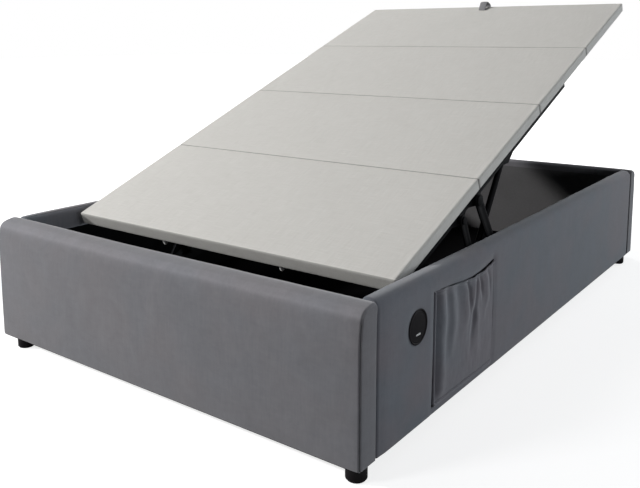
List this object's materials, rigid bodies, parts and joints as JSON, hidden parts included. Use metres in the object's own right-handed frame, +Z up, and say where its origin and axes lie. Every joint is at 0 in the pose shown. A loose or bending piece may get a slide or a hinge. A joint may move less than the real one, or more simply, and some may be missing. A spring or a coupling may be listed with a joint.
{
  "type": "upholstered storage bed",
  "caption": "Velvet-covered storage bed with padded side rails and end panels; its wrapped slat deck lifts at the foot end on gas struts over a floored box. Shown raised.",
  "frame": {"origin": "on the floor, under the middle of the bed's frame", "axes": "+X to the right rail with the port and pocket, +Y from the head panel to the foot panel, +Z up"},
  "size_m": [1.308, 2.08, 1.0808],
  "materials": {
    "velvet": "soft matte velvet with a faint brushed nap",
    "pocket_velvet": "soft matte velvet, gathered",
    "timber": "stained frame timber",
    "deck_cloth": "woven linen look over a light padded board",
    "black_steel": "black powder coat",
    "strut_black": "satin black paint",
    "rod_steel": "ground steel",
    "zinc": "bright turned steel",
    "black_plastic": "moulded black plastic",
    "white_plastic": "pale moulded plastic",
    "webbing": "woven flat webbing"
  },
  "bodies": {
    "frame": {"head_panel_cover": "velvet", "foot_panel_cover": "velvet", "left_rail_cover": "velvet", "right_rail_cover": "velvet", "storage_pocket": "pocket_velvet", "head_panel_core": "timber", "foot_panel_core": "timber", "left_rail_core": "timber", "right_rail_core": "timber", "left_floor_bearer": "timber", "right_floor_bearer": "timber", "centre_beam": "timber", "floor_board_1": "timber", "floor_board_2": "timber", "floor_board_3": "timber", "left_ledge": "timber", "right_ledge": "timber", "head_left_corner_bracket": "black_steel", "head_right_corner_bracket": "black_steel", "foot_left_corner_bracket": "black_steel", "foot_right_corner_bracket": "black_steel", "left_base_plate": "black_steel", "right_base_plate": "black_steel", "head_left_foot": "black_plastic", "head_right_foot": "black_plastic", "foot_left_foot": "black_plastic", "foot_right_foot": "black_plastic", "centre_foot": "black_plastic", "port_bezel": "black_plastic", "port_face": "black_plastic", "port_socket": "white_plastic"},
    "head_links": {"left_head_link": "black_steel", "right_head_link": "black_steel"},
    "foot_links": {"left_foot_link": "black_steel", "right_foot_link": "black_steel"},
    "deck": {"deck_board_1": "deck_cloth", "deck_board_2": "deck_cloth", "deck_board_3": "deck_cloth", "deck_board_4": "deck_cloth", "left_deck_stringer": "timber", "right_deck_stringer": "timber", "left_locating_stud": "zinc", "right_locating_stud": "zinc", "left_upper_arm": "black_steel", "right_upper_arm": "black_steel", "cross_tube_1": "black_steel", "cross_tube_2": "black_steel", "cross_tube_3": "black_steel", "pull_strap": "webbing"},
    "strut_cylinders": {"left_strut_cylinder": "strut_black", "right_strut_cylinder": "strut_black"},
    "strut_rods": {"left_strut_rod": "rod_steel", "right_strut_rod": "rod_steel"}
  },
  "joints": [
    {"name": "lift", "type": "hinge", "parent": "frame", "child": "head_links", "pos_m": [0, -0.30351, 0.13632], "axis": [1, 0, 0], "range_deg": [0, 34.37], "stiffness_Nm_per_rad": 120, "springref_deg": -114.59},
    {"name": "deck_tilt", "type": "hinge", "parent": "head_links", "child": "deck", "pos_m": [0, -0.45315, 0.44182], "axis": [1, 0, 0], "range_deg": [-55.95, 0]},
    {"name": "foot_link_swing", "type": "hinge", "parent": "frame", "child": "foot_links", "pos_m": [0, -0.13266, 0.15721], "axis": [1, 0, 0], "range_deg": [0, 33.09]},
    {"name": "strut_swing", "type": "hinge", "parent": "deck", "child": "strut_cylinders", "pos_m": [0, -0.1412, 0.56938], "axis": [1, 0, 0], "range_deg": [0, 13.32]},
    {"name": "strut_stroke", "type": "slide", "parent": "strut_cylinders", "child": "strut_rods", "axis": [0, -0.5665, -0.8241], "range_m": [-0.2808, 0]}
  ],
  "couplings": [
    {"joint": "deck_tilt", "follows": "lift", "ratio": -1.6273},
    {"joint": "foot_link_swing", "follows": "lift", "ratio": 0.96219},
    {"joint": "strut_swing", "follows": "lift", "ratio": 0.38707},
    {"joint": "strut_stroke", "follows": "lift", "m_per_rad": -0.46782}
  ]
}
